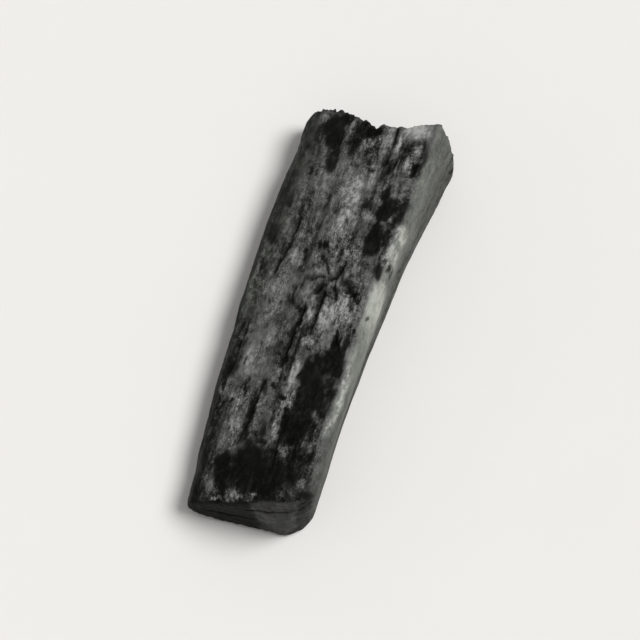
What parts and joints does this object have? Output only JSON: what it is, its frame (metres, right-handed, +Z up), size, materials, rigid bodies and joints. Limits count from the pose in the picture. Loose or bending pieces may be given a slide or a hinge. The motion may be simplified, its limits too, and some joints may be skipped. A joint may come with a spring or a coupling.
{
  "type": "charcoal lump",
  "caption": "Split stick of hardwood charcoal with a wedge-shaped section, one end cut and the other snapped off, lying on its flat underside.",
  "frame": {"origin": "centre of the bounding box's underside, on the surface the lump rests on", "axes": "+Y along the grain from the cut end to the snapped end, +Z up from the flat underside, +X from the thin edge towards the ridge"},
  "size_m": [0.0584, 0.1534, 0.0332],
  "materials": {
    "char": "matt black char with silvery grey ash streaks along the grain"
  },
  "bodies": {
    "root": {"charcoal_lump": "char"}
  },
  "joints": []
}
